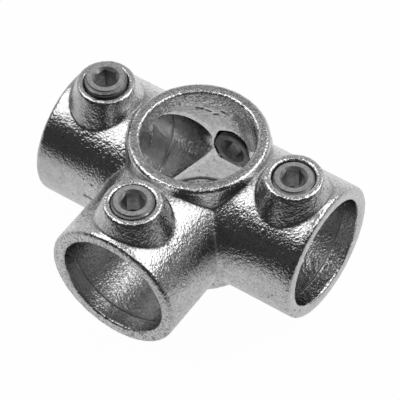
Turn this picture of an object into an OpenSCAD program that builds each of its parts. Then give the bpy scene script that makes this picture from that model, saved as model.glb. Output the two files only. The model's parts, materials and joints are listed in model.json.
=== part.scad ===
// Three socket cross for round tube: one casting with four hollow set screws.
// The origin is where all the socket axes cross. +Z runs up the upright socket,
// the level sockets point along -X, -Y and +X, and +Y carries the upright's own screw.

/* [Tube] */
// Outside diameter of the tube that the sockets take
tube_d = 42.4; // [30:0.1:52]
// Radial clearance between the tube and a bore
tube_clearance = 0.5; // [0.3:0.05:0.8]

/* [Sockets] */
// Wall of the level sockets outside the bore
socket_wall = 5.4; // [4.4:0.1:7]
// Distance from the centre to the mouth of a level socket
socket_reach = 57.5; // [55:0.5:70]
// Rounding of the outer edge at a socket's mouth
mouth_round = 1.6; // [0.6:0.1:2.2]
// Chamfer of the inner edge at every mouth
mouth_chamfer = 0.8; // [0.3:0.1:1.2]
// Depth of the bored land behind a socket's mouth
mouth_land = 7; // [4:0.5:9]
// Length of the bored throat between a socket and the upright
throat_land = 4.25; // [3:0.25:6]
// Depth of the as-cast relief below the bored lands
relief_depth = 1.25; // [0.6:0.05:1.8]

/* [Upright] */
// Wall of the upright socket outside the bore
upright_wall = 5.1; // [4.2:0.1:6.5]
// How far the upright's collar stands above and below the level sockets
collar_rise = 2.9; // [2:0.1:8]
// Rounding of the collar's outer edge
collar_round = 2; // [0.6:0.1:2.2]
// Depth of the bored land at each end of the upright
collar_land = 7.5; // [5:0.5:9]

/* [Junctions] */
// Radius of the cast fillets where the collar meets the level sockets
collar_fillet = 1.8; // [1:0.1:3]
// Radius of the cast fillets down the corners between two sockets
valley_fillet = 2.8; // [1:0.1:4]

/* [Bosses] */
// Distance from a socket's mouth back to the axis of its screw
boss_setback = 15.7; // [15:0.1:18]
// How far a boss stands out from the wall of its socket
boss_rise = 7.25; // [5:0.25:10]
// Diameter of a boss at its face, before the edge is rounded
boss_face_d = 21.6; // [20:0.2:24]
// Draft angle of the boss cone, from its axis
boss_draft = 20.6; // [10:0.2:24]
// Rounding of the edge of a boss face
boss_round = 1; // [0.4:0.1:1.4]

/* [Set screws] */
// Outside diameter of the screw thread
screw_d = 16; // [14:0.5:17]
// Radial clearance between the screw and its hole
screw_clearance = 0.1; // [0.05:0.05:0.2]
// Overall length of a set screw
screw_len = 12; // [10:0.25:13]
// Chamfer at the driven end of the screw
screw_chamfer = 0.95; // [0.3:0.05:1.2]
// Width across the flats of the hexagon hole, which runs right through
hex_flats = 8; // [5:0.5:8]
// Diameter of the countersink round the hexagon hole
hex_sink_d = 10.4; // [9.4:0.1:11]
// Chamfer at the point of the screw
tip_chamfer = 0.5; // [0.3:0.05:0.8]
// Diameter of the hollow in the cup point, at its rim
cup_d = 11.2; // [9.6:0.1:12]
// Depth of the hollow in the cup point
cup_depth = 2; // [1:0.25:2.5]
// Chamfer where a screw hole breaks into its bore
hole_breakout = 0.9; // [0.4:0.1:1.2]
// Chamfer of a screw hole at the face of its boss
hole_chamfer = 0.7; // [0.3:0.1:1]
// How far the left screw is backed off from flush
left_proud = 2.6; // [-3:0.1:5]
// How far the front screw is backed off from flush
front_proud = 0.7; // [-3:0.1:5]
// How far the right screw is backed off from flush, below zero when it is sunk
right_proud = -0.3; // [-3:0.1:5]
// How far the upright's screw is backed off from flush, below zero when it is sunk
upright_proud = -0.5; // [-3:0.1:5]
// Turn of the left screw's hexagon, from the direction of its socket
left_turn = 11; // [0:1:59]
// Turn of the front screw's hexagon, from the direction of its socket
front_turn = 6; // [0:1:59]
// Turn of the right screw's hexagon, from the direction of its socket
right_turn = 37; // [0:1:59]
// Turn of the upright screw's hexagon about its axis
upright_turn = 20; // [0:1:59]

/* [Hidden] */
$fn = 96;
hex_sides = 6;
cast_colour = [0.66, 0.67, 0.68];
screw_colour = [0.42, 0.43, 0.45];

// Bores, walls and lands
bore_r = tube_d / 2 + tube_clearance;
relief_r = bore_r + relief_depth;
socket_r = bore_r + socket_wall;
upright_r = bore_r + upright_wall;
upright_half = socket_r + collar_rise;
relief_start = relief_r + throat_land;
relief_end = socket_reach - mouth_land;
collar_relief = upright_half - collar_land;
// Level bores and the front socket start off centre, inside the space of the upright
branch_start = bore_r / 4;
// Cuts run this far past the faces they open
overcut = 2;

// Bosses and screws, measured outwards from the axis of the tube they grip
boss_x = socket_reach - boss_setback;
boss_face = socket_r + boss_rise;
boss_foot = bore_r;
boss_face_r = boss_face_d / 2;
boss_foot_r = boss_face_r + (boss_face - boss_foot) * tan(boss_draft);
boss_limit = socket_reach - mouth_round;
screw_r = screw_d / 2;
hole_r = screw_r + screw_clearance;
hex_corner_d = hex_flats / cos(180 / hex_sides);
// Depth of the countersink over its width
sink_slope = 1;

// Fillets: each is swept by a ball that rolls along two walls, sunk a little into both
fillet_sink = 0.15;
// Fillets reach this far under the walls they join
fillet_bury = 0.8;
fillet_steps = 17;
arc_steps = 4;
// Plan angle of the corners between sockets, and how far a fillet runs on into the next wall
corner_angle = 45;
corner_overlap = 10;
corner_end = corner_angle + corner_overlap;
// Plan angle at which a collar fillet ends inside the boss of the upright
boss_end = 76;
collar_ball_r = upright_r - fillet_sink + collar_fillet;
socket_ball_r = socket_r - fillet_sink + collar_fillet;
valley_ball_r = socket_r - fillet_sink + valley_fillet;

// Round bar along Z from low to high, with true rounded edges where the radii are above zero
module rounded_bar(r, low, high, low_round, high_round) {
    rotate_extrude() union() {
        translate([0, low + low_round]) square([r, high - low - low_round - high_round]);
        end_edge(r, low, low_round, 1);
        end_edge(r, high, high_round, -1);
    }
}

// Section of one end of a round bar: inwards is 1 at the low end and -1 at the high end
module end_edge(r, z, f, inwards) {
    if (f > 0) {
        translate([0, min(z, z + inwards * f)]) square([r - f, f]);
        translate([r - f, z + inwards * f]) circle(f);
    }
}

// Turns a shape that stands on +Z to stand on a level direction, as an angle in plan
module along(angle) {
    rotate([0, 90, angle]) children();
}

// Bore of one end of a tube space: land of the bore radius and a chamfered mouth at z = mouth
module bored_end(from, mouth) {
    translate([0, 0, from]) cylinder(h = mouth - from + overcut, r = bore_r);
    translate([0, 0, mouth - mouth_chamfer])
        cylinder(h = mouth_chamfer + overcut, r1 = bore_r, r2 = bore_r + mouth_chamfer + overcut);
}

// As-cast relief between two bored lands
module relief(from, to) {
    translate([0, 0, from]) cylinder(h = to - from, r = relief_r);
}

// Space for one level tube, along +Z
module socket_space() {
    bored_end(branch_start, socket_reach);
    relief(relief_start, relief_end);
}

// Space for the upright tube, along Z
module upright_space() {
    bored_end(0, upright_half);
    mirror([0, 0, 1]) bored_end(0, upright_half);
    relief(-collar_relief, collar_relief);
}

// Tapered boss along +Z, with a rounded edge round its face
module boss() {
    edge_r = boss_face_r - boss_round * (1 - sin(boss_draft)) / cos(boss_draft);
    edge_z = boss_face - boss_round;
    rotate_extrude() union() {
        polygon([
            [0, boss_foot],
            [boss_foot_r, boss_foot],
            [edge_r + boss_round * cos(boss_draft), edge_z + boss_round * sin(boss_draft)],
            [edge_r, boss_face],
            [0, boss_face]
        ]);
        translate([edge_r, edge_z]) circle(boss_round);
    }
}

// Section of a fillet of radius f: c is the centre of its ball, and u and w are directions to its two walls
function fillet_section(c, u, w, f) =
    let (angle = acos(u * w), reach = f + fillet_bury)
    concat(
        [for (k = [0 : arc_steps])
            let (s = k / arc_steps)
            c + f * (sin((1 - s) * angle) * u + sin(s * angle) * w) / sin(angle)],
        [c + reach * w, c + reach * (u + w), c + reach * u]
    );

// Ball against the collar and the socket along +X, at the plan angle t
function collar_section(t) =
    let (y = collar_ball_r * sin(t), z = sqrt(socket_ball_r ^ 2 - y ^ 2))
    fillet_section(
        [collar_ball_r * cos(t), y, z],
        [-cos(t), -sin(t), 0],
        [0, -y, -z] / socket_ball_r,
        collar_fillet
    );

// Ball against the sockets along +X and -Y, at the angle t up from the level plane
function valley_section(t) =
    let (s = valley_ball_r * cos(t), z = valley_ball_r * sin(t))
    fillet_section(
        [s, -s, z],
        [-s, 0, -z] / valley_ball_r,
        [0, s, -z] / valley_ball_r,
        valley_fillet
    );

// Solid through a row of sections, each a ring of as many points
module swept(sections) {
    n = len(sections);
    m = len(sections[0]);
    polyhedron(
        points = [for (section = sections) each section],
        faces = concat(
            [[for (j = [0 : m - 1]) j]],
            [[for (j = [m - 1 : -1 : 0]) (n - 1) * m + j]],
            [for (i = [0 : n - 2], j = [0 : m - 1])
                let (here = i * m, next = here + m, k = (j + 1) % m)
                each [[here + k, here + j, next + j], [here + k, next + j, next + k]]]
        )
    );
}

// Fillets above and below a level socket, between two plan angles from the socket's direction
module collar_fillets(angle, from, to) {
    step = (to - from) / fillet_steps;
    for (side = [0, 1])
        mirror([0, 0, side]) rotate([0, 0, angle])
            swept([for (i = [0 : fillet_steps]) collar_section(from + i * step)]);
}

// Fillets down the corners between the front socket and its neighbours
module valley_fillets() {
    step = 2 * corner_end / fillet_steps;
    for (side = [0, 1])
        mirror([side, 0, 0])
            swept([for (i = [0 : fillet_steps]) valley_section(i * step - corner_end)]);
}

// Hole for one screw, along +Z, with a chamfer where it breaks into the bore and another at the boss face
module screw_hole() {
    translate([0, 0, bore_r - overcut]) cylinder(h = boss_face - bore_r + 2 * overcut, r = hole_r);
    translate([0, 0, relief_r - hole_breakout])
        cylinder(h = 2 * hole_breakout, r1 = hole_r + 2 * hole_breakout, r2 = hole_r);
    translate([0, 0, boss_face - hole_chamfer])
        cylinder(h = hole_chamfer + overcut, r1 = hole_r, r2 = hole_r + hole_chamfer + overcut);
}

// Hollow hexagon set screw along +Z, with its driven end at the boss face plus proud
module set_screw(proud, turn) {
    top = boss_face + proud;
    tip = top - screw_len;
    sink_depth = (hex_sink_d - hex_flats) / 2 * sink_slope;
    translate([0, 0, tip]) rotate([0, 0, turn]) difference() {
        rotate_extrude() polygon([
            [0, 0],
            [screw_r - tip_chamfer, 0],
            [screw_r, tip_chamfer],
            [screw_r, screw_len - screw_chamfer],
            [screw_r - screw_chamfer, screw_len],
            [0, screw_len]
        ]);
        translate([0, 0, -overcut])
            cylinder(h = screw_len + 2 * overcut, d = hex_corner_d, $fn = hex_sides);
        translate([0, 0, screw_len - sink_depth])
            cylinder(h = sink_depth, d1 = hex_flats, d2 = hex_sink_d);
        cylinder(h = cup_depth, d1 = cup_d, d2 = hex_flats);
    }
}

// Puts what stands on the screw axis in place on a level socket: angle is the socket's direction
module on_socket(angle) {
    rotate([0, 0, angle]) translate([boss_x, 0, 0]) children();
}

// Puts what stands on the screw axis in place on the upright
module on_upright() {
    rotate([-90, 0, 0]) children();
}

// Outside of the upright and the level sockets, with the fillets between them
module filleted_cross() {
    union() {
        rounded_bar(upright_r, -upright_half, upright_half, collar_round, collar_round);
        along(0) rounded_bar(socket_r, -socket_reach, socket_reach, mouth_round, mouth_round);
        along(-90) rounded_bar(socket_r, branch_start, socket_reach, 0, mouth_round);
        collar_fillets(0, -corner_end, boss_end);
        collar_fillets(180, -boss_end, corner_end);
        collar_fillets(-90, -corner_end, corner_end);
        valley_fillets();
    }
}

// Boss of a level socket, kept behind the rounded edge of its mouth
module socket_boss(angle) {
    intersection() {
        on_socket(angle) boss();
        along(angle) cylinder(h = boss_limit, r = boss_face + overcut);
    }
}

module cast_body() {
    color(cast_colour) difference() {
        union() {
            filleted_cross();
            for (angle = [180, -90, 0])
                socket_boss(angle);
            on_upright() boss();
        }
        upright_space();
        for (angle = [180, -90, 0]) {
            along(angle) socket_space();
            on_socket(angle) screw_hole();
        }
        on_upright() screw_hole();
    }
}

module set_screw_left() {
    color(screw_colour) on_socket(180) set_screw(left_proud, left_turn);
}

module set_screw_front() {
    color(screw_colour) on_socket(-90) set_screw(front_proud, front_turn);
}

module set_screw_right() {
    color(screw_colour) on_socket(0) set_screw(right_proud, right_turn);
}

module set_screw_upright() {
    color(screw_colour) on_upright() set_screw(upright_proud, upright_turn);
}

cast_body();
set_screw_left();
set_screw_front();
set_screw_right();
set_screw_upright();
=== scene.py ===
"""Dresses the three socket cross clamp: a galvanised casting with four threaded set screws.

Lengths are in metres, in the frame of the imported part, and angles are in degrees, unless a name or a
docstring says otherwise.
"""
import json
import logging
import math
from dataclasses import dataclass
from enum import Enum

import bmesh
import bpy
from mathutils import Matrix, Vector, noise
from mathutils.kdtree import KDTree


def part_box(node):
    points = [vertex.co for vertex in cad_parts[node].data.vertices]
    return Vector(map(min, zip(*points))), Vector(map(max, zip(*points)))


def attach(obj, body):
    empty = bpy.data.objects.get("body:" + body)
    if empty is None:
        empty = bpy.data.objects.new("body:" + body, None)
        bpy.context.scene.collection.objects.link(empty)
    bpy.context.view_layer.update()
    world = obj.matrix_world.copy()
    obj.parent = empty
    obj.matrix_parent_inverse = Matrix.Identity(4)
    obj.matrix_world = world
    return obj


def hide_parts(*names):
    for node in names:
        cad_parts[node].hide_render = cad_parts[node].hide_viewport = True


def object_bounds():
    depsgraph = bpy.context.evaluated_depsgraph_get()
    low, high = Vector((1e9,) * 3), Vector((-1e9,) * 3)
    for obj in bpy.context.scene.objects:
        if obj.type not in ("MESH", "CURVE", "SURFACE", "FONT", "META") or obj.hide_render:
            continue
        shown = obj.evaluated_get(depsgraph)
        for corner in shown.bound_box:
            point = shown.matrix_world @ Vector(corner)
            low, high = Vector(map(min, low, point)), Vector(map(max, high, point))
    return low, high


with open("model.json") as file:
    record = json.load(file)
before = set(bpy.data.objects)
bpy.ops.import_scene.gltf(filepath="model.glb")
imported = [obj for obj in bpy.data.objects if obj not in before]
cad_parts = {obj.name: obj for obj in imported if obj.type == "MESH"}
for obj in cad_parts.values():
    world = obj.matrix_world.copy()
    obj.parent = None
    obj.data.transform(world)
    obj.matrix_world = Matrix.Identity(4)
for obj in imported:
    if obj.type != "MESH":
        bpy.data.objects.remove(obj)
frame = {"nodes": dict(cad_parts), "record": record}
CAD_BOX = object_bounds()

LOG = logging.getLogger("cross_clamp")
MM = 0.001
MERGE_DISTANCE = 0.000001
FULL_TURN = 2.0 * math.pi
RIGHT_ANGLE = 90.0
HEX_SIDES = 6


def new_piece(name: str, bm: bmesh.types.BMesh) -> bpy.types.Object:
    """Makes an object at the origin from a bmesh, and frees the bmesh.

    Args:
        name: Name of the object and of its mesh.
        bm: Shape of the piece, already in its place.

    Returns:
        The new object, linked to the scene.
    """
    mesh = bpy.data.meshes.new(name)
    bm.to_mesh(mesh)
    bm.free()
    piece = bpy.data.objects.new(name, mesh)
    bpy.context.scene.collection.objects.link(piece)
    return piece


def apply_modifiers(piece: bpy.types.Object) -> None:
    """Puts the result of a piece's modifiers into its mesh and removes the modifiers.

    Args:
        piece: Object whose modifiers are applied.
    """
    depsgraph = bpy.context.evaluated_depsgraph_get()
    result = bpy.data.meshes.new_from_object(piece.evaluated_get(depsgraph))
    before = piece.data
    piece.modifiers.clear()
    piece.data = result
    bpy.data.meshes.remove(before)
    result.name = piece.name


def discard(piece: bpy.types.Object) -> None:
    """Removes a helper object together with its mesh.

    Args:
        piece: Object that was only needed to shape another one.
    """
    mesh = piece.data
    bpy.data.objects.remove(piece)
    bpy.data.meshes.remove(mesh)


def grey(level: float) -> tuple[float, float, float, float]:
    """Opaque grey of one linear brightness."""
    return (level, level, level, 1.0)


def heading(azimuth: float, elevation: float) -> Vector:
    """Direction from the origin, counted as the camera's own azimuth and elevation are.

    Args:
        azimuth: Degrees from -Y towards +X.
        elevation: Degrees above the horizon.

    Returns:
        A unit vector.
    """
    side, rise = math.radians(azimuth), math.radians(elevation)
    return Vector((math.sin(side) * math.cos(rise), -math.cos(side) * math.cos(rise), math.sin(rise)))


class NodeSketch:
    """Adds nodes to one node tree and joins them."""

    def __init__(self, tree: bpy.types.NodeTree) -> None:
        """Starts on a tree.

        Args:
            tree: Node tree to build in.
        """
        self.tree = tree

    def add(self, kind: str, values: dict | None = None, **settings: object) -> bpy.types.Node:
        """Adds one node.

        Args:
            kind: Blender's name for the type of node.
            values: Input names or numbers, each with a value or with an output socket to join.
            settings: Properties of the node itself.

        Returns:
            The new node.
        """
        node = self.tree.nodes.new(kind)
        for key, setting in settings.items():
            setattr(node, key, setting)
        for key, value in (values or {}).items():
            if isinstance(value, bpy.types.NodeSocket):
                self.tree.links.new(value, node.inputs[key])
            else:
                node.inputs[key].default_value = value
        return node

    def math(self, operation: str, first: object, second: object) -> bpy.types.NodeSocket:
        """Adds a calculation with two numbers or sockets.

        Args:
            operation: Name of the operation, such as ADD or MULTIPLY.
            first: First number or socket.
            second: Second number or socket.

        Returns:
            Socket with the result.
        """
        return self.add("ShaderNodeMath", {0: first, 1: second}, operation=operation).outputs[0]

    def step(self, value: bpy.types.NodeSocket, source: tuple[float, float],
             target: tuple[float, float]) -> bpy.types.NodeSocket:
        """Adds a soft step from one value to another.

        Args:
            value: Socket that is read.
            source: Range over which the step runs.
            target: Values before and after the step.

        Returns:
            Socket with the result.
        """
        values = {"Value": value, "From Min": source[0], "From Max": source[1],
                  "To Min": target[0], "To Max": target[1]}
        return self.add("ShaderNodeMapRange", values, interpolation_type="SMOOTHSTEP").outputs[0]

    def blend(self, factor: bpy.types.NodeSocket, first: object, second: object) -> bpy.types.NodeSocket:
        """Adds a mix of two colours.

        Args:
            factor: Socket that is 0 for the first colour and 1 for the second.
            first: First colour, or a socket with it.
            second: Second colour, or a socket with it.

        Returns:
            Socket with the mixed colour.
        """
        factor_input, first_input, second_input, colour_output = 0, 6, 7, 2
        values = {factor_input: factor, first_input: first, second_input: second}
        return self.add("ShaderNodeMix", values, data_type="RGBA").outputs[colour_output]

    def any_of(self, *flags: bpy.types.NodeSocket) -> bpy.types.NodeSocket:
        """Adds the largest of several flags.

        Args:
            flags: Sockets that are 0 or 1.

        Returns:
            Socket that is 1 where any flag is.
        """
        result = flags[0]
        for flag in flags[1:]:
            result = self.math("MAXIMUM", result, flag)
        return result


class SurfaceGroups:
    """Shader node groups that the casting and the screws share."""

    def __init__(self) -> None:
        """Builds each group once."""
        self.grain = self.build_grain()
        self.mottle = self.build_mottle()

    @staticmethod
    def start(name: str, inputs: tuple[str, ...], outputs: tuple[str, ...]
              ) -> tuple[bpy.types.NodeTree, NodeSketch, bpy.types.Node, bpy.types.Node]:
        """Makes an empty group with a vector input and float sockets.

        Args:
            name: Name of the group.
            inputs: Names of its float inputs.
            outputs: Names of its float outputs.

        Returns:
            The group, a sketch of its tree, its input node and its output node.
        """
        group = bpy.data.node_groups.new(name, "ShaderNodeTree")
        group.interface.new_socket("Vector", in_out="INPUT", socket_type="NodeSocketVector")
        for label in inputs:
            group.interface.new_socket(label, in_out="INPUT", socket_type="NodeSocketFloat")
        for label in outputs:
            group.interface.new_socket(label, in_out="OUTPUT", socket_type="NodeSocketFloat")
        sketch = NodeSketch(group)
        return group, sketch, sketch.add("NodeGroupInput"), sketch.add("NodeGroupOutput")

    def build_grain(self) -> bpy.types.NodeTree:
        """Grain of a sand casting: fine bumps on soft swells, with sparse pits.

        Returns:
            The group, with outputs Height and Pits.
        """
        swell_scale, pit_scale = 0.4, 0.3
        fine_detail, swell_detail = 2.0, 1.0
        pit_rarity, pit_edge = (0.86, 0.92), (0.05, 0.3)
        group, sketch, given, result = self.start(
            "cast_grain", ("Scale", "Swell", "Pit Depth"), ("Height", "Pits"))
        vector, scale = given.outputs["Vector"], given.outputs["Scale"]
        fine = sketch.add("ShaderNodeTexNoise", {"Vector": vector, "Scale": scale, "Detail": fine_detail})
        wide = sketch.add("ShaderNodeTexNoise", {
            "Vector": vector, "Scale": sketch.math("MULTIPLY", scale, swell_scale), "Detail": swell_detail})
        cells = sketch.add("ShaderNodeTexVoronoi", {
            "Vector": vector, "Scale": sketch.math("MULTIPLY", scale, pit_scale)})
        draw = sketch.add("ShaderNodeSeparateColor", {"Color": cells.outputs["Color"]})
        chosen = sketch.step(draw.outputs["Red"], pit_rarity, (0.0, 1.0))
        centre = sketch.step(cells.outputs["Distance"], pit_edge, (1.0, 0.0))
        pits = sketch.math("MULTIPLY", chosen, centre)
        swell = sketch.math("MULTIPLY", wide.outputs[0], given.outputs["Swell"])
        bumps = sketch.math("ADD", fine.outputs[0], swell)
        depth = sketch.math("MULTIPLY", pits, given.outputs["Pit Depth"])
        group.links.new(sketch.math("SUBTRACT", bumps, depth), result.inputs["Height"])
        group.links.new(pits, result.inputs["Pits"])
        return group

    def build_mottle(self) -> bpy.types.NodeTree:
        """Clouds of tone in a metal coating, with finer specks inside them.

        Returns:
            The group, with outputs Mask and Specks, of which the second is 1 in the darkest specks.
        """
        speck_scale, speck_share, soft_step = 3.2, 1.6, (0.95, 1.65)
        dark_step, detail = (0.38, 0.5), 2.0
        group, sketch, given, result = self.start("coating_mottle", ("Scale",), ("Mask", "Specks"))
        vector, scale = given.outputs["Vector"], given.outputs["Scale"]
        clouds = sketch.add("ShaderNodeTexNoise", {"Vector": vector, "Scale": scale, "Detail": detail})
        specks = sketch.add("ShaderNodeTexNoise", {
            "Vector": vector, "Scale": sketch.math("MULTIPLY", scale, speck_scale), "Detail": detail})
        mixed = sketch.math("ADD", clouds.outputs[0], sketch.math("MULTIPLY", specks.outputs[0], speck_share))
        group.links.new(sketch.step(mixed, soft_step, (0.0, 1.0)), result.inputs["Mask"])
        group.links.new(sketch.step(specks.outputs[0], dark_step, (1.0, 0.0)), result.inputs["Specks"])
        return group


@dataclass(frozen=True)
class MetalFinish:
    """Metal with a mottled tone, a grain in relief and a gloss that follows the mottle.

    Scales are features per metre. Three attributes of a mesh change the finish where they aren't zero. One
    darkens it and takes its gloss, for dull patches and for painted shade in hollow corners and in the front
    socket. Another darkens it almost to black, for dark marks and for painted shade in recesses. grain_lift
    adds to its grain and its specks.
    """

    name: str
    dull_tone: float
    bright_tone: float
    pit_tone: float
    mottle_scale: float
    grain_scale: float
    grain_height: float
    swell: float
    pit_depth: float
    smooth_roughness: float
    dull_roughness: float
    # Tone and extra roughness for dull patches and for painted shade in hollow corners
    dull_and_shade_tone: float = 0.3
    dull_and_shade_roughness: float = 0.25
    speck_share: float = 0.3
    speck_lift: float = 0.75
    # Near-black tone and extra roughness for dark marks and for painted shade in recesses
    marks_and_shade_tone: float = 0.1
    marks_and_shade_roughness: float = 0.25

    def material(self, groups: SurfaceGroups) -> bpy.types.Material:
        """Builds the material.

        Args:
            groups: The shared shader node groups.

        Returns:
            The new material.
        """
        material = bpy.data.materials.new(self.name)
        material.use_nodes = True
        material.node_tree.nodes.clear()
        sketch = NodeSketch(material.node_tree)
        place = sketch.add("ShaderNodeTexCoord").outputs["Object"]
        grain = sketch.add("ShaderNodeGroup", node_tree=groups.grain)
        mottle = sketch.add("ShaderNodeGroup", node_tree=groups.mottle)
        grain_values = {"Scale": self.grain_scale, "Swell": self.swell, "Pit Depth": self.pit_depth}
        for node, values in ((grain, grain_values), (mottle, {"Scale": self.mottle_scale})):
            material.node_tree.links.new(place, node.inputs["Vector"])
            for label, value in values.items():
                node.inputs[label].default_value = value
        mask = mottle.outputs["Mask"]
        clean = sketch.blend(mask, grey(self.dull_tone), grey(self.bright_tone))
        pitted = sketch.blend(grain.outputs["Pits"], clean, grey(self.pit_tone))
        # These attributes darken the colour for dull patches and dark marks, and as painted shade in corners
        # and recesses.
        dull_and_painted_shade = sketch.add("ShaderNodeAttribute", attribute_name="dull_and_painted_shade").outputs["Fac"]
        lift = sketch.add("ShaderNodeAttribute", attribute_name="grain_lift").outputs["Fac"]
        marks_and_painted_shade = sketch.add("ShaderNodeAttribute", attribute_name="marks_and_painted_shade").outputs["Fac"]
        share = sketch.math("ADD", sketch.math("MULTIPLY", lift, self.speck_lift), self.speck_share)
        specks = sketch.math("MULTIPLY", sketch.math("MAXIMUM", share, 0.0), mottle.outputs["Specks"])
        dulled_and_shaded = sketch.blend(dull_and_painted_shade, pitted, grey(self.dull_and_shade_tone))
        speckled = sketch.blend(specks, dulled_and_shaded, grey(self.pit_tone))
        colour = sketch.blend(marks_and_painted_shade, speckled, grey(self.marks_and_shade_tone))
        whole = sketch.step(mask, (0.0, 1.0), (self.dull_roughness, self.smooth_roughness))
        dulled_roughness = sketch.math("ADD", whole, sketch.math("MULTIPLY", dull_and_painted_shade, self.dull_and_shade_roughness))
        roughness = sketch.math("ADD", dulled_roughness, sketch.math("MULTIPLY", marks_and_painted_shade, self.marks_and_shade_roughness))
        height = sketch.math("MULTIPLY", sketch.math("ADD", lift, 1.0), self.grain_height)
        bump = sketch.add("ShaderNodeBump", {"Distance": height, "Height": grain.outputs["Height"]})
        metal = sketch.add("ShaderNodeBsdfPrincipled", {
            "Base Color": colour, "Metallic": 1.0, "Roughness": roughness, "Normal": bump.outputs[0]})
        sketch.add("ShaderNodeOutputMaterial", {"Surface": metal.outputs[0]})
        return material


GALVANISED = MetalFinish(
    name="galvanised_casting", dull_tone=0.55, bright_tone=0.74, pit_tone=0.22, mottle_scale=420.0,
    grain_scale=1250.0, grain_height=0.21 * MM, swell=0.7, pit_depth=0.3,
    smooth_roughness=0.06, dull_roughness=0.11)
PLATED = MetalFinish(
    name="plated_screw", dull_tone=0.4, bright_tone=0.62, pit_tone=0.2, mottle_scale=350.0,
    grain_scale=2600.0, grain_height=0.012 * MM, swell=0.5, pit_depth=0.3,
    smooth_roughness=0.27, dull_roughness=0.34, speck_share=0.0)


@dataclass(frozen=True)
class Flaw:
    """A small mark in the casting's skin, along a line between two places. Its sizes are in millimetres.

    A mark below the skin is a hollow whose colour is darkened: dark pits and scratches, and painted shade
    along the cast step and the foot of the upright's core. One above it is a raised ridge that loses the
    darkening and gets a coarser grain, as a painted highlight.
    """

    start: tuple[float, float, float]
    end: tuple[float, float, float]
    width: float
    height: float = -0.3
    # Share of the near-black tone in a hollow, for dark marks and for painted shade
    marks_and_painted_shade: float = 0.9

    def shares(self, tree: KDTree) -> dict[int, float]:
        """Finds the vertices in the mark.

        Args:
            tree: Vertices of the casting by place.

        Returns:
            Share of the mark's full height for each vertex in it.
        """
        first, last, width = Vector(self.start) * MM, Vector(self.end) * MM, self.width * MM
        line = last - first
        found = {}
        for place, index, _ in tree.find_range((first + last) / 2, line.length / 2 + width):
            share = (place - first).dot(line) / max(line.length_squared, MERGE_DISTANCE ** 2)
            gap = (place - first - line * min(max(share, 0.0), 1.0)).length
            found[index] = max(1.0 - gap / width, 0.0)
        return found


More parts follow.
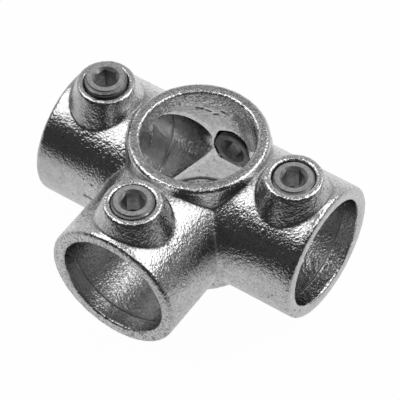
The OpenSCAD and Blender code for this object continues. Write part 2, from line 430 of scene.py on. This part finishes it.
@dataclass
class CastBody:
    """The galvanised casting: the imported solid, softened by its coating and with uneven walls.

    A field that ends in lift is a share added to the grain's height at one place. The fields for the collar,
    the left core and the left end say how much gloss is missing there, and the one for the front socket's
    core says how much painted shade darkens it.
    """

    node: str = "cast_body"
    body: str = "casting"
    upright_top: float = 30.0 * MM
    slot: str = "galvanised_casting"
    voxel: float = 0.42 * MM
    smooth_passes: int = 2
    smooth_factor: float = 0.5
    wave_length: float = 4.5 * MM
    wave_height: float = 0.035 * MM
    ripple_length: float = 1.35 * MM
    ripple_height: float = 0.038 * MM
    fitted_margin: float = 0.35 * MM
    triangle_limit: int = 190_000
    crease_passes: int = 14
    crease_depth: float = 0.2 * MM
    core_skin: tuple[float, float] = (22.4 * MM, 24.0 * MM)
    core_lift: float = -0.7
    rim_lift: float = 0.5
    right_lift: float = -0.4
    land_lift: float = 0.5
    left_end: tuple[float, float] = (-30.0 * MM, -46.0 * MM)
    left_end_lift: float = -0.4
    left_end_dull: float = 0.3
    front_core_lift: float = 0.05
    right_core_lift: float = 0.35
    boss_lift: float = -0.2
    collar_lift: float = 1.0
    # Extra grain on raised ridges, which with their darkening taken off make a painted highlight
    ridge_highlight_lift: float = 2.0
    collar_dull: float = 0.75
    left_dull: float = 0.5
    # Painted shade that darkens the core of the front socket
    front_core_painted_shade: float = 0.3
    rim_depth: float = 0.5 * MM
    boss_depth: float = 1.2 * MM
    boss_top: float = 34.35 * MM
    mouth_depth: float = 0.7 * MM
    rim_flat: float = 0.97
    thread_margin: float = 0.35 * MM
    edge_length: float = 1.3 * MM
    edge_height: float = 0.13 * MM
    edge_wear: float = 0.5
    flaws: tuple[Flaw, ...] = (
        # Scratch and pit on the left socket
        Flaw((-34.4, -27.1, -0.1), (-30.8, -27.1, -0.5), 0.8, -0.4, 1.0),
        Flaw((-31.4, -26.1, 7.4), (-30.6, -26.2, 6.8), 0.45),
        # Rim of the front mouth
        Flaw((17.8, -57.5, -17.2), (19.1, -57.2, -18.5), 0.9),
        Flaw((14.7, -57.5, -20.6), (15.2, -57.5, -21.0), 0.55),
        Flaw((24.8, -57.5, -6.6), (24.6, -57.5, -7.2), 0.6),
        Flaw((23.8, -57.5, -10.2), (23.1, -57.5, -11.2), 0.55),
        Flaw((8.1, -57.5, -22.0), (8.8, -57.5, -22.9), 0.55),
        Flaw((6.4, -57.5, -24.6), (6.9, -57.5, -25.2), 0.5),
        Flaw((11.8, -57.4, -18.7), (13.0, -57.5, -19.0), 0.6),
        # Rim of the right mouth, and pits behind it
        Flaw((57.2, -21.4, -15.3), (57.0, -21.5, -15.8), 0.6),
        Flaw((57.5, -22.7, -9.5), (57.5, -22.3, -10.1), 0.6),
        Flaw((57.5, -19.3, -13.6), (57.5, -18.8, -14.2), 0.5),
        Flaw((57.1, -24.0, -11.2), (57.0, -23.6, -11.9), 0.5),
        Flaw((50.6, -27.1, -0.6), (50.4, -27.1, -0.9), 0.5),
        Flaw((48.8, -26.9, -3.2), (48.3, -26.8, -3.9), 0.45),
        # Raised ridges with a painted highlight, and a cast step darkened with painted shade, in the core of
        # the left socket
        Flaw((-27.7, 22.3, 1.0), (-27.3, 21.8, -5.5), 0.9, 0.12),
        Flaw((-27.1, 20.4, -8.0), (-26.9, 17.1, -13.4), 0.9, -0.15, 0.6),
        Flaw((-26.9, 16.8, -13.7), (-26.2, 12.4, -17.8), 0.9, -0.15, 0.6),
        Flaw((-36.9, 21.4, -8.3), (-34.7, 17.3, -15.0), 1.0, 0.12),
        # Core wall of the upright: marks high up, then painted shade along its foot
        Flaw((-13.8, 18.3, 20.2), (-11.6, 19.8, 19.6), 0.5, -0.2, 0.3),
        Flaw((-10.6, 20.3, 19.0), (-8.9, 21.1, 18.3), 0.4, -0.15, 0.25),
        Flaw((-8.2, 21.4, 16.9), (-6.1, 22.1, 17.6), 0.45, -0.15, 0.2),
        Flaw((-4.9, 22.4, 19.7), (-2.4, 22.8, 19.2), 0.4, -0.15, 0.25),
        Flaw((-0.6, 22.9, 18.4), (1.0, 22.9, 17.5), 0.45, -0.15, 0.2),
        Flaw((1.9, 22.8, 16.0), (3.2, 22.7, 13.5), 0.4, -0.15, 0.2),
        Flaw((-17.4, 14.8, -22.3), (-13.4, 18.5, -21.7), 1.3, -0.1, 0.7),
        Flaw((-12.8, 18.9, -21.6), (-7.9, 21.4, -22.3), 1.3, -0.1, 0.7),
    )

    def build(self) -> bpy.types.Object:
        """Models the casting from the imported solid.

        Returns:
            The casting's object.
        """
        bm = bmesh.new()
        bm.from_mesh(frame["nodes"][self.node].data)
        bmesh.ops.remove_doubles(bm, verts=bm.verts[:], dist=MERGE_DISTANCE)
        piece = new_piece("galvanised_body", bm)
        skin = piece.modifiers.new("skin", "REMESH")
        skin.mode = "VOXEL"
        skin.voxel_size = self.voxel
        apply_modifiers(piece)
        self.weather(piece)
        triangles = sum(len(face.vertices) - 2 for face in piece.data.polygons)
        if triangles > self.triangle_limit:
            thin = piece.modifiers.new("thin", "DECIMATE")
            thin.ratio = self.triangle_limit / triangles
            apply_modifiers(piece)
        self.mark(piece)
        piece.data.shade_smooth()
        return piece

    def weather(self, piece: bpy.types.Object) -> None:
        """Softens the casting's skin and makes its cast walls uneven.

        Args:
            piece: The casting's object.
        """
        bm = bmesh.new()
        bm.from_mesh(piece.data)
        for _ in range(self.smooth_passes):
            self.relax(bm)
        bm.to_mesh(piece.data)
        bm.free()
        bores = self.fitted_bores()
        moves = [self.unevenness(vertex.co, rise) * self.freedom(vertex.co, bores) * vertex.normal
                 for vertex, rise in zip(piece.data.vertices, self.rises(piece.data))]
        for flaw, index, share in self.flawed(piece.data):
            moves[index] += piece.data.vertices[index].normal * share * flaw.height * MM
        for vertex, move in zip(piece.data.vertices, moves):
            vertex.co += move

    def relax(self, bm: bmesh.types.BMesh) -> None:
        """Smooths the skin once."""
        bmesh.ops.smooth_vert(bm, verts=bm.verts[:], factor=self.smooth_factor,
                              use_axis_x=True, use_axis_y=True, use_axis_z=True)

    def rises(self, mesh: bpy.types.Mesh) -> list[float]:
        """Measures how hollow the skin is at each vertex.

        Args:
            mesh: The casting's mesh.

        Returns:
            How far each vertex rises when the skin is smoothed: above 0 in hollow corners, below 0 on edges.
        """
        bm = bmesh.new()
        bm.from_mesh(mesh)
        bm.normal_update()
        starts = [(vert.co.copy(), vert.normal.copy()) for vert in bm.verts]
        for _ in range(self.crease_passes):
            self.relax(bm)
        rises = [(vert.co - start).dot(normal) for vert, (start, normal) in zip(bm.verts, starts)]
        bm.free()
        return rises

    def flawed(self, mesh: bpy.types.Mesh) -> list[tuple[Flaw, int, float]]:
        """Finds the vertices in the casting's flaws.

        Args:
            mesh: The casting's mesh.

        Returns:
            A flaw, the number of a vertex in it and the share of the flaw's full height there.
        """
        tree = KDTree(len(mesh.vertices))
        for vertex in mesh.vertices:
            tree.insert(vertex.co, vertex.index)
        tree.balance()
        return [(flaw, index, share) for flaw in self.flaws for index, share in flaw.shares(tree).items()]

    def mark(self, piece: bpy.types.Object) -> None:
        """Writes the attributes that the finish reads: one for dull patches and painted shade, grain_lift,
        and one for dark marks and painted shade.

        Args:
            piece: The casting's object.
        """
        starts = [(vertex.co, vertex.normal) for vertex in piece.data.vertices]
        # Painted shade: hollow corners, found by how far they rise when the skin is smoothed, darken and lose
        # gloss.
        shares = [rise / self.crease_depth for rise in self.rises(piece.data)]
        dulls_and_shades = [min(max(share, self.dullness_and_core_shade(*start)), 1.0) for share, start in zip(shares, starts)]
        lifts = [self.lift(*start) for start in starts]
        # Painted shade: the walls of the screw holes take a near-black tone.
        holes = self.screw_holes()
        marks_and_shades = [float(any(self.in_hole(point, hole) for hole in holes)) for point, _ in starts]
        # Raised flaws lose their darkening and get coarser grain, as a painted highlight; hollow flaws
        # darken, as dark marks and as painted shade.
        for flaw, index, share in self.flawed(piece.data):
            if flaw.height > 0.0:
                dulls_and_shades[index] *= 1.0 - share
                lifts[index] += share * self.ridge_highlight_lift
            else:
                marks_and_shades[index] = max(marks_and_shades[index], share * flaw.marks_and_painted_shade)
        for name, values in (("dull_and_painted_shade", dulls_and_shades), ("grain_lift", lifts), ("marks_and_painted_shade", marks_and_shades)):
            piece.data.attributes.new(name, "FLOAT", "POINT").data.foreach_set("value", values)

    def on_collar_rim(self, point: Vector, normal: Vector) -> bool:
        """Tells whether a point is on the flat rim at an end of the upright."""
        return abs(abs(point.z) - self.upright_top) < self.rim_depth and abs(normal.z) > self.rim_flat

    def dullness_and_core_shade(self, point: Vector, normal: Vector) -> float:
        """Tells how much gloss is missing at a point outside the hollow corners, and how much painted shade
        darkens the core of the front socket.

        Args:
            point: Place on the wall.
            normal: Normal of the wall.

        Returns:
            0 for the full gloss, up to 1.
        """
        if self.on_collar_rim(point, normal):
            return self.collar_dull
        # Painted shade in the core of the front socket.
        if self.in_front_core(point):
            return self.front_core_painted_shade
        return self.left_dull if self.in_left_core(point) else self.left_end_dull * self.left_end_share(point)

    def in_left_core(self, point: Vector) -> bool:
        """Tells whether a point is inside the left socket, whose core was the smoothest."""
        return point.x < -self.core_skin[0] and point.yz.length < self.core_skin[1]

    def left_end_share(self, point: Vector) -> float:
        """Tells how near a point is to the smooth end of the left socket, from 0 to 1."""
        start, end = self.left_end
        return min(max((point.x - start) / (end - start), 0.0), 1.0)

    def in_front_core(self, point: Vector) -> bool:
        """Tells whether a point is inside the front socket, behind its mouth."""
        mouth = CAD_BOX[0].y + self.rim_depth
        return mouth < point.y < -self.core_skin[0] and point.xz.length < self.core_skin[1]

    def lift(self, point: Vector, normal: Vector) -> float:
        """Tells how much rougher than the rest of the casting its skin is at a point.

        Args:
            point: Place on the wall.
            normal: Normal of the wall.

        Returns:
            Share to add to the grain's height, below zero on the smooth core walls.
        """
        low, high = CAD_BOX
        land, core = self.core_skin
        if self.on_collar_rim(point, normal):
            return self.collar_lift
        if high.x - point.x < self.rim_depth:
            return self.right_lift
        if min(point.x - low.x, point.y - low.y) < self.rim_depth:
            return self.rim_lift
        if min(high.y - point.y, high.z - point.z) < self.boss_depth:
            return self.boss_lift
        if self.in_left_core(point):
            return self.core_lift
        if point.xy.length < core:
            return self.land_lift if point.xy.length < land else self.core_lift
        if self.in_front_core(point):
            return self.front_core_lift
        if point.x > 0.0:
            return self.right_core_lift if point.yz.length < core else 0.0
        return self.left_end_lift * self.left_end_share(point)

    def unevenness(self, point: Vector, rise: float) -> float:
        """Height of the cast wall over its drawn place at a point.

        Args:
            point: Place on the wall.
            rise: How hollow the wall is there, below 0 on an edge, which wears down.

        Returns:
            Height along the wall's normal.
        """
        wave = noise.noise(point / self.wave_length)
        ripple = noise.noise(point / self.ripple_length)
        edge = min(max(-rise / self.crease_depth, 0.0), 1.0)
        wear = edge * max(self.edge_wear + noise.noise(point / self.edge_length), 0.0)
        return wave * self.wave_height + ripple * self.ripple_height - wear * self.edge_height

    def fitted_bores(self) -> list[tuple[Vector, Vector, float]]:
        """Bores that something fits in, which stay true.

        Returns:
            A point, an axis and a radius for each tube bore and each screw hole.
        """
        bores = [(Vector(mount["pos_m"]), Vector(mount["axis"]), mount["dims"]["r_mm"] * MM)
                 for mount in frame["record"]["mounts"] if mount["kind"] == "bore"]
        return bores + self.screw_holes()

    @staticmethod
    def screw_holes() -> list[tuple[Vector, Vector, float]]:
        """Threaded holes of the bosses.

        Returns:
            A point, an axis and a radius for each hole.
        """
        holes = []
        for place in ScrewPlace:
            low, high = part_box(place.node)
            holes.append(((low + high) / 2, place.axis, (high - low).x / 2))
        return holes

    def in_hole(self, point: Vector, hole: tuple[Vector, Vector, float]) -> bool:
        """Tells whether a point is on the thread of a hole.

        Args:
            point: Place on the wall.
            hole: A point, an axis and a radius.

        Returns:
            True on the wall of the hole, which is darkened as painted shade.
        """
        origin, axis, radius = hole
        offset = point - origin
        across = (offset - offset.dot(axis) * axis).length
        height = point.dot(axis)
        return 0.0 < height < self.boss_top - self.mouth_depth and across < radius + self.thread_margin

    def freedom(self, point: Vector, bores: list[tuple[Vector, Vector, float]]) -> float:
        """Tells how freely the wall may move at a point.

        Args:
            point: Place on the wall.
            bores: Bores that stay true.

        Returns:
            0 on the wall of a fitted bore, or 1 elsewhere.
        """
        for origin, axis, radius in bores:
            offset = point - origin
            across = (offset - offset.dot(axis) * axis).length
            if abs(across - radius) < self.fitted_margin:
                return 0.0
        return 1.0

    def dress(self, piece: bpy.types.Object, material: bpy.types.Material) -> None:
        """Gives the casting its finish and ties it to the frame.

        Args:
            piece: The casting's object.
            material: The galvanised finish.
        """
        piece.data.materials.append(material)
        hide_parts(self.node)
        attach(piece, self.body)


class ScrewPlace(Enum):
    """The four places of a set screw, each with the turn of its hexagon in degrees."""

    LEFT = ("left", 11.0)
    FRONT = ("front", 36.0)
    RIGHT = ("right", 37.0)
    UPRIGHT = ("upright", 20.0)

    def __init__(self, label: str, turn: float) -> None:
        """Keeps the place's label and the turn of its hexagon.

        Args:
            label: Word for the place in the names of nodes and bodies.
            turn: Turn of the hexagon about the screw's axis.
        """
        self.label = label
        self.turn = turn

    @property
    def node(self) -> str:
        """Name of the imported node."""
        return f"set_screw_{self.label}"

    @property
    def body(self) -> str:
        """Name of the moving body."""
        return f"{self.label}_screw"

    @property
    def axis(self) -> Vector:
        """Direction from the cup point to the driven end."""
        return Vector((0.0, 1.0, 0.0)) if self is ScrewPlace.UPRIGHT else Vector((0.0, 0.0, 1.0))

    def matrix(self) -> Matrix:
        """Place of a screw that was modelled on +Z with its cup point at the origin.

        Returns:
            The matrix that puts the screw where its node is.
        """
        low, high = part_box(self.node)
        centre = (low + high) / 2
        tip = centre + self.axis * (low - centre).dot(self.axis)
        lean = Matrix.Identity(4)
        if self is ScrewPlace.UPRIGHT:
            lean = Matrix.Rotation(math.radians(-RIGHT_ANGLE), 4, "X")
        return Matrix.Translation(tip) @ lean @ Matrix.Rotation(math.radians(self.turn), 4, "Z")


@dataclass
class SetScrew:
    """A hollow hexagon set screw with a rolled thread and a cup point, modelled once and used four times."""

    slot: str = "set_screw"
    thread_r: float = 8.0 * MM
    pitch: float = 1.5 * MM
    thread_depth: float = 0.92 * MM
    crest_share: float = 0.26
    flank_share: float = 0.32
    turn_steps: int = 48
    spare_turns: int = 2
    length: float = 12.0 * MM
    chamfer: float = 0.95 * MM
    tip_chamfer: float = 0.5 * MM
    hex_flats: float = 8.0 * MM
    sink_d: float = 10.4 * MM
    sink_slope: float = 1.0
    cup_d: float = 11.2 * MM
    cup_depth: float = 2.0 * MM
    core_share: float = 0.25
    round_segments: int = 64
    sliver: float = 0.01 * MM
    sharp_angle: float = 35.0
    flat_limit: float = 0.2
    # Painted shade on the cup end, in the thread's grooves, down the thread towards the casting, in the
    # countersink and in the hexagon
    tip_painted_shade: float = 0.76
    crest_painted_shade: float = 0.0
    groove_painted_shade: float = 0.7
    crest_depth: float = 0.15 * MM
    shade_start_length: float = 1.6 * MM
    shade_deepening_length: float = 2.5 * MM
    sink_painted_shade: float = 0.4
    tip_length: float = 3.0 * MM
    hex_painted_shade: float = 0.55

    def build(self) -> bpy.types.Mesh:
        """Models one screw on +Z with its cup point at the origin.

        Returns:
            The screw's mesh.
        """
        screw = self.blank()
        for operation, tool in (("INTERSECT", self.thread()), ("DIFFERENCE", self.hexagon())):
            cut = screw.modifiers.new("cut", "BOOLEAN")
            cut.operation = operation
            cut.solver = "EXACT"
            cut.object = tool
            apply_modifiers(screw)
            discard(tool)
        bm = bmesh.new()
        bm.from_mesh(screw.data)
        discard(screw)
        bmesh.ops.remove_doubles(bm, verts=bm.verts[:], dist=self.sliver)
        bmesh.ops.dissolve_degenerate(bm, edges=bm.edges[:], dist=self.sliver)
        mesh = bpy.data.meshes.new("threaded_screw")
        bm.to_mesh(mesh)
        bm.free()
        mesh.shade_smooth()
        mesh.set_sharp_from_angle(angle=math.radians(self.sharp_angle))
        # Painted shade, which darkens each face's plated tone.
        marks_and_shades = [self.painted_shade_share(face.center, face.normal) for face in mesh.polygons]
        mesh.attributes.new("marks_and_painted_shade", "FLOAT", "FACE").data.foreach_set("value", marks_and_shades)
        return mesh

    def painted_shade_share(self, centre: Vector, normal: Vector) -> float:
        """Tells how much painted shade darkens a face of the screw: on the cup end, in the thread's grooves,
        over the whole thread more the deeper it sits below the driven end, in the hexagon and in its
        countersink.

        Args:
            centre: Middle of the face, with the cup point at the origin.
            normal: Normal of the face.

        Returns:
            0 where the face keeps its plated tone, up to 1 for the darkest painted shade.
        """
        if centre.z < self.tip_length:
            return self.tip_painted_shade
        across = centre.xy.length
        if across > self.thread_r - self.chamfer:
            side = self.crest_painted_shade if across > self.thread_r - self.crest_depth else self.groove_painted_shade
            depth = max(self.length - self.shade_start_length - centre.z, 0.0)
            return min(side + depth / self.shade_deepening_length, 1.0)
        if across > self.sink_d / 2:
            return 0.0
        return self.hex_painted_shade if abs(normal.z) < self.flat_limit else self.sink_painted_shade

    def blank(self) -> bpy.types.Object:
        """Turned blank with a countersunk driven end and a cup point, a little wider than the thread.

        Returns:
            A helper object.
        """
        over = self.tip_chamfer / 2
        rim = self.thread_r + over
        core = self.hex_flats * self.core_share
        cup_slope = self.cup_depth / (self.cup_d - self.hex_flats)
        cup_floor = (self.cup_d - 2 * core) * cup_slope
        sink_floor = self.length - (self.sink_d / 2 - core) * self.sink_slope
        outline = [(0.0, cup_floor), (core, cup_floor),
                   (self.cup_d / 2, 0.0), (self.thread_r - self.tip_chamfer, 0.0),
                   (rim, self.tip_chamfer + over), (rim, self.length - self.chamfer - over),
                   (self.thread_r - self.chamfer, self.length), (self.sink_d / 2, self.length),
                   (core, sink_floor), (0.0, sink_floor)]
        bm = bmesh.new()
        verts = [bm.verts.new((r, 0.0, z)) for r, z in outline]
        edges = [bm.edges.new(pair) for pair in zip(verts, verts[1:])]
        bmesh.ops.spin(bm, geom=verts + edges, cent=(0, 0, 0), axis=(0, 0, 1), angle=FULL_TURN,
                       steps=self.round_segments, use_merge=True)
        return self.closed("screw_blank", bm)

    def thread(self) -> bpy.types.Object:
        """Threaded bar, longer than the blank by about a pitch at each end.

        Returns:
            A helper object.
        """
        root = self.thread_r - self.thread_depth
        rise, crest = self.flank_share * self.pitch, self.crest_share * self.pitch
        outline = [(root, 0.0), (self.thread_r, rise), (self.thread_r, rise + crest),
                   (root, 2 * rise + crest), (root, self.pitch)]
        turns = math.ceil(self.length / self.pitch) + 2 * self.spare_turns
        low = -self.spare_turns * self.pitch
        bm = bmesh.new()
        verts = [bm.verts.new((r, 0.0, low + z)) for r, z in outline]
        edges = [bm.edges.new(pair) for pair in zip(verts, verts[1:])]
        bmesh.ops.spin(bm, geom=verts + edges, cent=(0, 0, 0), axis=(0, 0, 1), angle=turns * FULL_TURN,
                       steps=turns * self.turn_steps, dvec=(0, 0, self.pitch / self.turn_steps))
        bmesh.ops.remove_doubles(bm, verts=bm.verts[:], dist=MERGE_DISTANCE)
        half = self.pitch / 2
        for height, outwards in ((-half, -1.0), (self.length + half, 1.0)):
            bmesh.ops.bisect_plane(bm, geom=bm.verts[:] + bm.edges[:] + bm.faces[:], plane_co=(0, 0, height),
                                   plane_no=(0, 0, outwards), clear_outer=True)
        bmesh.ops.holes_fill(bm, edges=[edge for edge in bm.edges if edge.is_boundary])
        return self.closed("thread_tool", bm)

    def hexagon(self) -> bpy.types.Object:
        """Cutter for the hexagon hole, with a corner on +X.

        Returns:
            A helper object.
        """
        half_side = math.pi / HEX_SIDES
        corner_r = self.hex_flats / 2 / math.cos(half_side)
        place = Matrix.Translation((0, 0, self.length / 2)) @ Matrix.Rotation(half_side, 4, "Z")
        bm = bmesh.new()
        bmesh.ops.create_cone(bm, cap_ends=True, segments=HEX_SIDES, radius1=corner_r, radius2=corner_r,
                              depth=2 * self.length, matrix=place)
        return self.closed("hexagon_tool", bm)

    @staticmethod
    def closed(name: str, bm: bmesh.types.BMesh) -> bpy.types.Object:
        """Merges a shape's doubles, turns its faces outwards and makes it an object.

        Args:
            name: Name of the object.
            bm: The shape.

        Returns:
            The new object.
        """
        bmesh.ops.remove_doubles(bm, verts=bm.verts[:], dist=MERGE_DISTANCE)
        bmesh.ops.recalc_face_normals(bm, faces=bm.faces[:])
        return new_piece(name, bm)

    def fit(self, mesh: bpy.types.Mesh, place: ScrewPlace, material: bpy.types.Material) -> bpy.types.Object:
        """Puts a copy of the screw in its hole, dresses it and ties it to the frame.

        Args:
            mesh: The screw's mesh, on +Z.
            place: Where the screw goes.
            material: The screw's finish.

        Returns:
            The screw's object.
        """
        name = f"threaded_screw_{place.label}"
        copy = mesh.copy()
        copy.name = name
        copy.transform(place.matrix())
        copy.materials.append(material)
        piece = bpy.data.objects.new(name, copy)
        bpy.context.scene.collection.objects.link(piece)
        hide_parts(place.node)
        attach(piece, place.body)
        return piece


@dataclass(frozen=True)
class PhotoCamera:
    """Camera that stands where the photograph was taken from."""

    azimuth: float = 35.32
    elevation: float = 50.43
    roll: float = -1.36
    distance: float = 0.928
    lens_mm: float = 220.7
    sensor_mm: float = 36.0
    aim_right: float = 0.09 * MM
    aim_up: float = -4.67 * MM

    def build(self) -> bpy.types.Object:
        """Makes the camera and hands it to the scene.

        Returns:
            The camera's object.
        """
        back = heading(self.azimuth, self.elevation)
        level = heading(self.azimuth + RIGHT_ANGLE, 0.0)
        turn = Matrix.Rotation(math.radians(self.roll), 3, back)
        right, up = turn @ level, turn @ back.cross(level)
        eye = back * self.distance
        depth = (eye - right * self.aim_right - up * self.aim_up).normalized()
        across = (right - right.dot(depth) * depth).normalized()
        data = bpy.data.cameras.new("photo_camera")
        data.lens = self.lens_mm
        data.sensor_width = self.sensor_mm
        camera = bpy.data.objects.new("photo_camera", data)
        bpy.context.scene.collection.objects.link(camera)
        axes = Matrix((across, depth.cross(across), depth)).transposed()
        camera.matrix_world = Matrix.Translation(eye) @ axes.to_4x4()
        bpy.context.scene.camera = camera
        return camera


@dataclass(frozen=True)
class Softbox:
    """A rectangular lamp that faces the origin. Its radiance is 1 where it looks as bright as white paper."""

    name: str
    azimuth: float
    elevation: float
    distance: float
    width: float
    height: float
    radiance: float

    def build(self) -> bpy.types.Object:
        """Makes the lamp.

        Returns:
            The lamp's object.
        """
        data = bpy.data.lights.new(self.name, "AREA")
        data.shape = "RECTANGLE"
        data.size = self.width
        data.size_y = self.height
        data.energy = self.radiance * math.pi * self.width * self.height
        lamp = bpy.data.objects.new(self.name, data)
        bpy.context.scene.collection.objects.link(lamp)
        towards = heading(self.azimuth, self.elevation)
        turn = towards.to_track_quat("Z", "Y").to_matrix().to_4x4()
        lamp.matrix_world = Matrix.Translation(towards * self.distance) @ turn
        lamp.visible_camera = False
        return lamp


@dataclass(frozen=True)
class Studio:
    """White table and sweep, two softboxes at the sides, a small lamp overhead and a room.

    The room is dark behind the camera, lit overhead and low at the right, and white behind the casting. A
    spread or a rise is the range of a direction's share over which a tone comes or goes.
    """

    softboxes: tuple[Softbox, ...] = (
        Softbox("left_softbox", -72.0, 56.0, 1.1, 0.8, 0.8, 1.85),
        Softbox("right_softbox", 130.0, 50.0, 1.1, 1.1, 0.75, 1.95),
        Softbox("overhead_lamp", 45.0, 68.0, 1.2, 0.4, 0.4, 1.4),
    )
    floor_radius: float = 4.0
    floor_segments: int = 96
    floor_drop: float = 0.1 * MM
    table_tone: float = 0.82
    table_front: tuple[float, float] = (-0.26, 0.05)
    room_floor_tone: float = 0.058
    white_share: float = 0.98
    mirrored_tones: tuple[float, float] = (0.78, 1.0)
    mirrored_depth: tuple[float, float] = (0.0, 0.16)
    table_side: tuple[float, float] = (0.06, 0.3)
    side_tone: float = 0.5
    room_tone: float = 0.052
    sweep_azimuth: float = 215.0
    sweep_spread: tuple[float, float] = (0.0, 0.8)
    sweep_tone: float = 0.5
    sweep_foot_rise: tuple[float, float] = (0.0, 0.4)
    sweep_foot_tone: float = 0.4
    ceiling_rise: tuple[float, float] = (0.75, 1.0)
    ceiling_tone: float = 0.3
    wall_azimuth: float = 122.0
    wall_spread: tuple[float, float] = (0.6, 0.95)
    wall_rise: tuple[float, float] = (0.0, 0.5)
    wall_tone: float = 0.3

    def build(self) -> None:
        """Makes the lamps, the floor and the room."""
        for softbox in self.softboxes:
            softbox.build()
        self.build_floor()
        self.build_room()
        bpy.context.scene.view_settings.view_transform = "Standard"

    def build_floor(self) -> bpy.types.Object:
        """Makes the table that the casting stands on.

        Returns:
            The floor's object.
        """
        bm = bmesh.new()
        height = CAD_BOX[0].z - self.floor_drop
        bmesh.ops.create_circle(bm, cap_ends=True, segments=self.floor_segments, radius=self.floor_radius,
                                matrix=Matrix.Translation((0, 0, height)))
        floor = new_piece("floor", bm)
        floor.data.materials.append(self.floor_material())
        return floor

    def floor_material(self) -> bpy.types.Material:
        """White table that keeps a soft shadow and ends in the dark room on the camera's side.

        The camera sees it white all over, and the metal shows the white near and behind the casting.

        Returns:
            The new material.
        """
        material = bpy.data.materials.new("white_table")
        material.use_nodes = True
        material.node_tree.nodes.clear()
        sketch = NodeSketch(material.node_tree)
        rays = sketch.add("ShaderNodeLightPath").outputs
        place = sketch.add("ShaderNodeTexCoord").outputs["Object"]
        depth = self.along(sketch, place, self.sweep_azimuth)
        aside = sketch.math("ABSOLUTE", self.along(sketch, place, self.sweep_azimuth + RIGHT_ANGLE), 0.0)
        front = sketch.step(depth, self.table_front, (0.0, 1.0))
        table = sketch.math("MULTIPLY", front, sketch.step(aside, self.table_side, (1.0, self.side_tone)))
        mirrored = sketch.any_of(rays["Is Glossy Ray"], rays["Is Transmission Ray"])
        seen = sketch.any_of(rays["Is Camera Ray"], sketch.math("MULTIPLY", mirrored, table))
        tone = sketch.blend(sketch.any_of(rays["Is Camera Ray"], table),
                            grey(self.room_floor_tone), grey(self.table_tone))
        paper = sketch.add("ShaderNodeBsdfDiffuse", {"Color": tone})
        mirrored_white = sketch.step(depth, self.mirrored_depth, self.mirrored_tones)
        shown = sketch.math("MAXIMUM", rays["Is Camera Ray"], mirrored_white)
        white = sketch.add("ShaderNodeEmission", {"Color": shown, "Strength": 1.0})
        share = sketch.math("MULTIPLY", seen, self.white_share)
        mixed = sketch.add("ShaderNodeMixShader", {0: share, 1: paper.outputs[0], 2: white.outputs[0]})
        sketch.add("ShaderNodeOutputMaterial", {"Surface": mixed.outputs[0]})
        return material

    @staticmethod
    def along(sketch: NodeSketch, vector: bpy.types.NodeSocket, azimuth: float) -> bpy.types.NodeSocket:
        """Adds the part of a vector that lies along a level heading.

        Args:
            sketch: Sketch of the tree.
            vector: Socket with a place or a direction.
            azimuth: The heading, in degrees.

        Returns:
            Socket with the length along that heading.
        """
        values = {0: vector, 1: heading(azimuth, 0.0)}
        return sketch.add("ShaderNodeVectorMath", values, operation="DOT_PRODUCT").outputs["Value"]

    def build_room(self) -> None:
        """Makes the room round the table as the world's background."""
        world = bpy.data.worlds.new("studio_room")
        world.use_nodes = True
        world.node_tree.nodes.clear()
        sketch = NodeSketch(world.node_tree)
        direction = sketch.add("ShaderNodeTexCoord").outputs["Generated"]
        away = self.along(sketch, direction, self.sweep_azimuth)
        rise = sketch.add("ShaderNodeSeparateXYZ", {0: direction}).outputs["Z"]
        sweep = sketch.step(away, self.sweep_spread, (0.0, self.sweep_tone))
        foot = sketch.step(rise, self.sweep_foot_rise, (self.sweep_foot_tone, 0.0))
        behind = sketch.math("ADD", sweep, sketch.math("MULTIPLY", sweep, foot))
        ceiling = sketch.step(rise, self.ceiling_rise, (0.0, self.ceiling_tone))
        aside = self.along(sketch, direction, self.wall_azimuth)
        wall = sketch.math("MULTIPLY", sketch.step(aside, self.wall_spread, (0.0, self.wall_tone)),
                           sketch.step(rise, self.wall_rise, (1.0, 0.0)))
        lit = sketch.math("MAXIMUM", sketch.math("MAXIMUM", behind, ceiling), wall)
        level = sketch.math("ADD", lit, self.room_tone)
        seen = sketch.add("ShaderNodeLightPath").outputs["Is Camera Ray"]
        shade = sketch.math("MAXIMUM", level, seen)
        room = sketch.add("ShaderNodeBackground", {"Color": shade, "Strength": 1.0})
        sketch.add("ShaderNodeOutputWorld", {"Surface": room.outputs[0]})
        bpy.context.scene.world = world


def report(piece: bpy.types.Object) -> None:
    """Logs the name and the number of faces of a finished piece."""
    LOG.info("%s: %d faces", piece.name, len(piece.data.polygons))


def main() -> None:
    """Builds the camera, the studio, the casting and the screws."""
    logging.basicConfig(level=logging.INFO)
    PhotoCamera().build()
    Studio().build()
    groups = SurfaceGroups()
    casting = CastBody()
    piece = casting.build()
    casting.dress(piece, GALVANISED.material(groups))
    report(piece)
    screw = SetScrew()
    mesh = screw.build()
    plated = PLATED.material(groups)
    for place in ScrewPlace:
        report(screw.fit(mesh, place, plated))
    bpy.data.meshes.remove(mesh)


if __name__ == "__main__":
    main()
